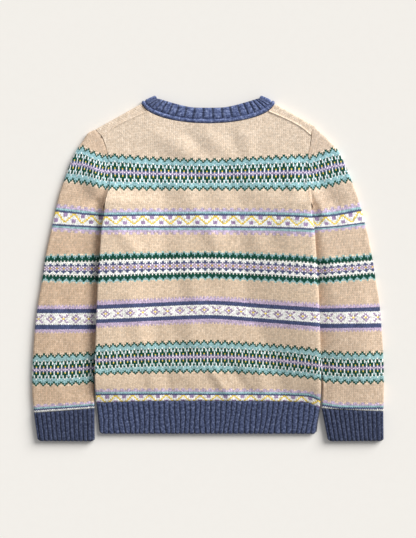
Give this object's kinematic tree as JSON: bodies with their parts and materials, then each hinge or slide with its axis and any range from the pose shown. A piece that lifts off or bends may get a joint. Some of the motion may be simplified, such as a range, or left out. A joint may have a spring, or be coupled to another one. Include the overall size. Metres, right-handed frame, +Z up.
{
  "type": "fair isle jumper",
  "caption": "Child's fair isle crew-neck jumper with long sleeves, laid flat with its back up, banded oatmeal knit with blue ribbed neck, cuffs and hem.",
  "frame": {"origin": "middle of the rectangle that the laid jumper covers, on the surface it lies on", "axes": "+Z up from the surface to the back panel, +Y from hem to neck, +X to the right of the view from above"},
  "size_m": [0.4928, 0.483, 0.0165],
  "materials": {
    "oatmeal_knit": "soft marled wool knit in oatmeal with multicoloured fair isle bands, matt",
    "blue_rib": "marled denim-blue rib knit, matt"
  },
  "bodies": {
    "root": {"back": "oatmeal_knit", "front": "oatmeal_knit", "sleeve_left": "oatmeal_knit", "sleeve_right": "oatmeal_knit", "neckband": "blue_rib", "hem_rib_back": "blue_rib", "hem_rib_front": "blue_rib", "cuff_left": "blue_rib", "cuff_right": "blue_rib"}
  },
  "joints": []
}
